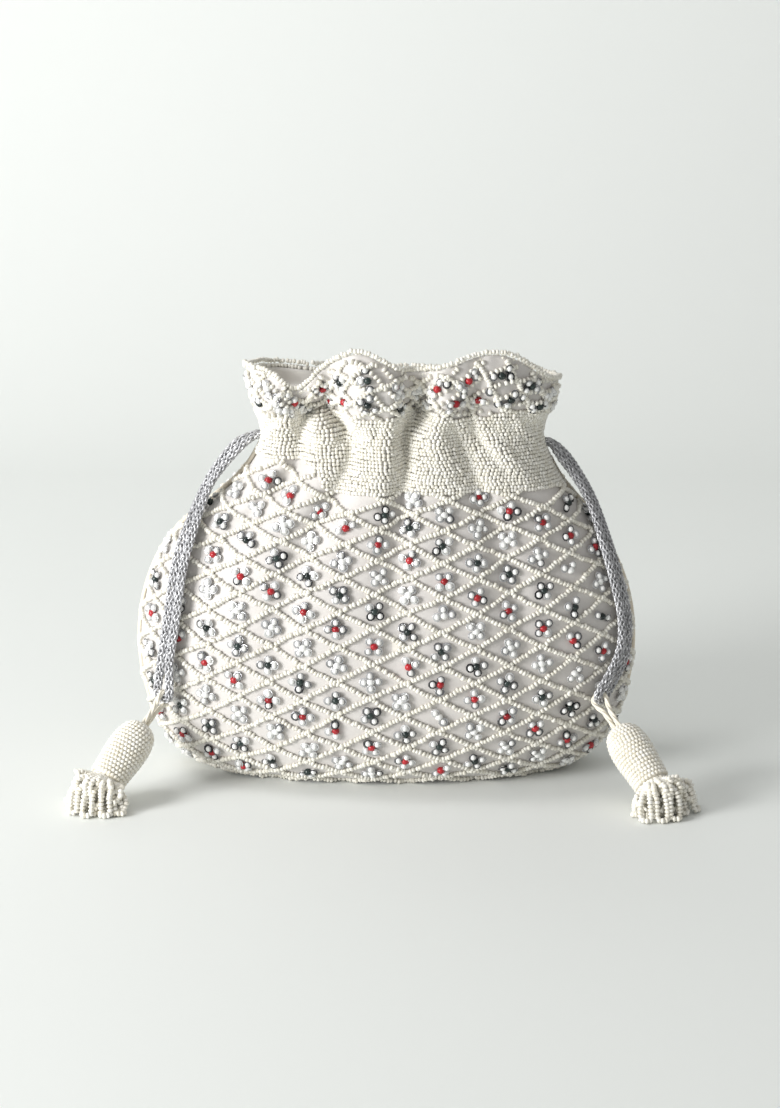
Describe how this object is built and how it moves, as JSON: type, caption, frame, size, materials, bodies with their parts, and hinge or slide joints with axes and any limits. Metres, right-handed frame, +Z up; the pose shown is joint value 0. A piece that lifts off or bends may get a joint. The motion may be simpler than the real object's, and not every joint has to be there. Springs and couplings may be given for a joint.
{
  "type": "potli bag",
  "caption": "Plump beaded drawstring pouch with a pleated neck, a ruffled frill, a satin lining, silver drawstrings leaving both sides and beaded fringe tassels on thread loops.",
  "frame": {"origin": "on the floor under the middle of the pouch", "axes": "+X to the right along the side seams' spacing, +Z up, -Y towards the front"},
  "size_m": [0.2552, 0.1254, 0.1845],
  "materials": {
    "beaded_cloth": "pale grey-lilac cloth covered in cream seed beads",
    "lining_satin": "off-white satin",
    "piping_thread": "tan thread-wrapped piping",
    "cream_beads": "opaque cream glass seed beads on thread",
    "silver_cord": "silver-grey metallic threads in a flat braid",
    "silk_thread": "cream silk thread"
  },
  "bodies": {
    "bag": {"front_panel": "beaded_cloth", "back_panel": "beaded_cloth", "lining": "lining_satin", "seam_piping": "piping_thread", "left_frill_piping": "piping_thread", "right_frill_piping": "piping_thread", "mouth_edging": "cream_beads", "left_drawstring": "silver_cord", "right_drawstring": "silver_cord"},
    "left_tassel": {"left_tassel_thread": "silk_thread", "left_tassel_cap": "cream_beads", "left_fringe_loop_1": "cream_beads", "left_fringe_loop_2": "cream_beads", "left_fringe_loop_3": "cream_beads", "left_fringe_loop_4": "cream_beads", "left_fringe_loop_5": "cream_beads", "left_fringe_loop_6": "cream_beads", "left_fringe_loop_7": "cream_beads", "left_fringe_loop_8": "cream_beads", "left_fringe_loop_9": "cream_beads", "left_fringe_loop_10": "cream_beads"},
    "right_tassel": {"right_tassel_thread": "silk_thread", "right_tassel_cap": "cream_beads", "right_fringe_loop_1": "cream_beads", "right_fringe_loop_2": "cream_beads", "right_fringe_loop_3": "cream_beads", "right_fringe_loop_4": "cream_beads", "right_fringe_loop_5": "cream_beads", "right_fringe_loop_6": "cream_beads", "right_fringe_loop_7": "cream_beads", "right_fringe_loop_8": "cream_beads", "right_fringe_loop_9": "cream_beads", "right_fringe_loop_10": "cream_beads"}
  },
  "joints": [
    {"name": "left_tassel_swing", "type": "hinge", "parent": "bag", "child": "left_tassel", "pos_m": [-0.09184, -0.03008, 0.0373], "axis": [-0.8089, 0.5812, 0.0892], "range_deg": [0, 75]},
    {"name": "right_tassel_swing", "type": "hinge", "parent": "bag", "child": "right_tassel", "pos_m": [0.08751, -0.03311, 0.03757], "axis": [-0.515, -0.7693, 0.3781], "range_deg": [0, 75]}
  ]
}
